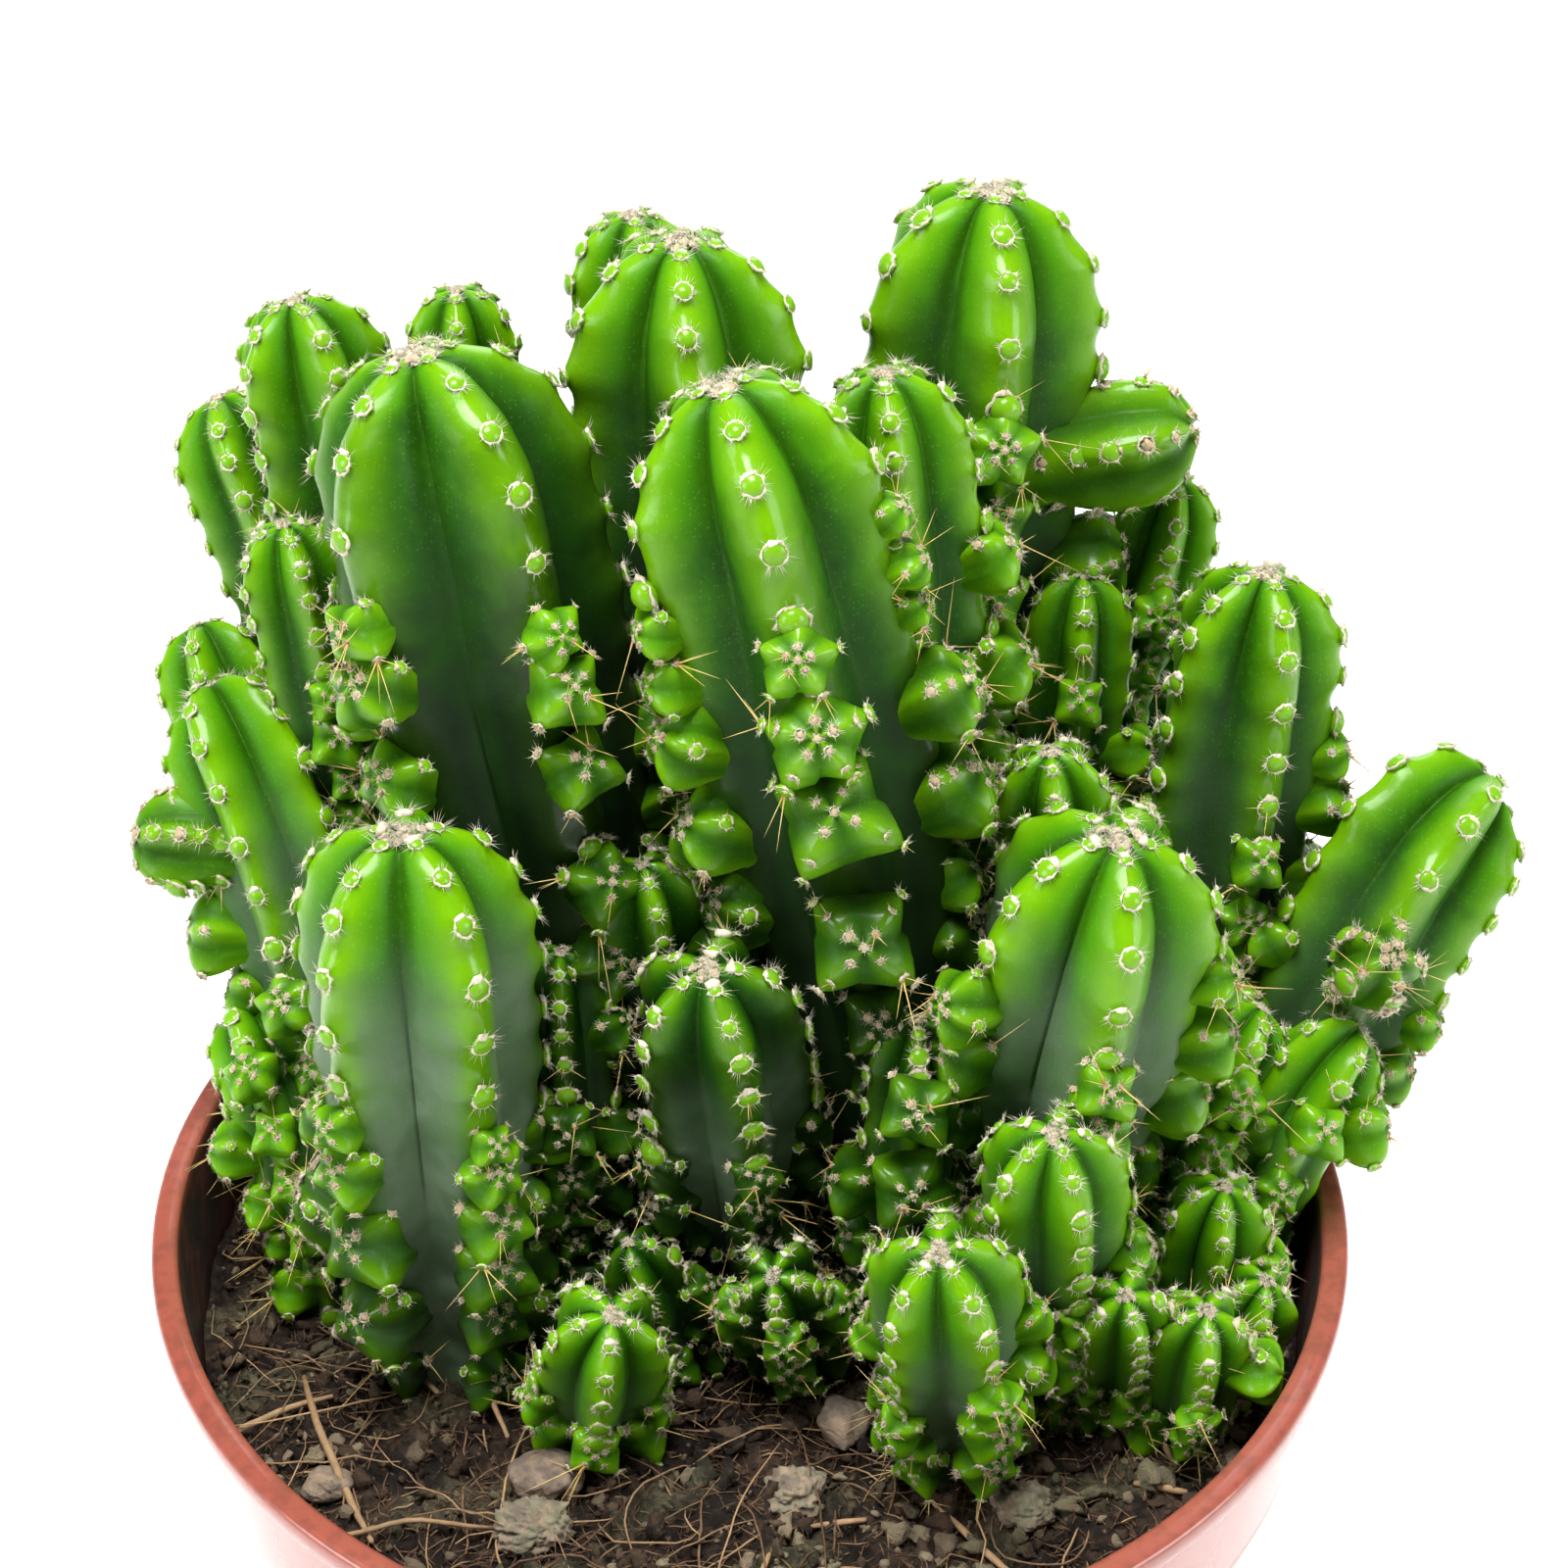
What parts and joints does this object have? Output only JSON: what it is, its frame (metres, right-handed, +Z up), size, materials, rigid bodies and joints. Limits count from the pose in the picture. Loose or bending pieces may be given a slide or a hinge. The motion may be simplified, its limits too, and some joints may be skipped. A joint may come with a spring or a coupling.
{
  "type": "potted clump of ribbed column cactus",
  "caption": "Low clump of upright ribbed cactus stems with woolly areoles and many offsets, rooted in fibrous soil in a round tapered plastic pot.",
  "frame": {"origin": "middle of the pot's flat underside", "axes": "+Z up out of the pot, -Y towards the side where the soil shows in front of the clump, +X to the right of that view"},
  "size_m": [0.1386, 0.1243, 0.189],
  "materials": {
    "stem_skin": "satin",
    "pot_plastic": "gloss",
    "soil": "matte",
    "stone": "matte",
    "wool": "matte",
    "spine": "satin",
    "fibre": "matte"
  },
  "bodies": {
    "root": {"clod_back": "stone", "clod_front": "stone", "clod_front_left": "stone", "clod_front_right": "stone", "pebble_front_centre": "stone", "pebble_front_left": "stone", "pebble_left": "stone", "pebble_right": "stone", "pot": "pot_plastic", "shoot_back_centre": "stem_skin", "shoot_back_left": "stem_skin", "shoot_back_low": "stem_skin", "shoot_back_right": "stem_skin", "shoot_centre_chain": "stem_skin", "shoot_centre_left": "stem_skin", "shoot_centre_low": "stem_skin", "shoot_centre_star": "stem_skin", "shoot_front_right": "stem_skin", "shoot_front_right_star": "stem_skin", "shoot_front_star": "stem_skin", "shoot_left_low": "stem_skin", "shoot_right_edge": "stem_skin", "shoot_right_front_low": "stem_skin", "shoot_right_mid": "stem_skin", "shoot_right_outer": "stem_skin", "soil": "soil", "stem_back_centre": "stem_skin", "stem_back_hidden": "stem_skin", "stem_back_right": "stem_skin", "stem_centre_small": "stem_skin", "stem_centre_tall": "stem_skin", "stem_far_left_back": "stem_skin", "stem_far_right": "stem_skin", "stem_front_left": "stem_skin", "stem_front_left_short": "stem_skin", "stem_front_right_low": "stem_skin", "stem_front_short": "stem_skin", "stem_left_back": "stem_skin", "stem_left_dark": "stem_skin", "stem_left_leaning": "stem_skin", "stem_left_mid": "stem_skin", "stem_left_tall": "stem_skin", "stem_left_upper": "stem_skin", "stem_right": "stem_skin", "stem_right_front": "stem_skin", "stem_right_inner": "stem_skin", "stem_right_inner_front": "stem_skin", "stem_right_of_centre": "stem_skin", "stem_right_rear": "stem_skin"}
  },
  "joints": []
}
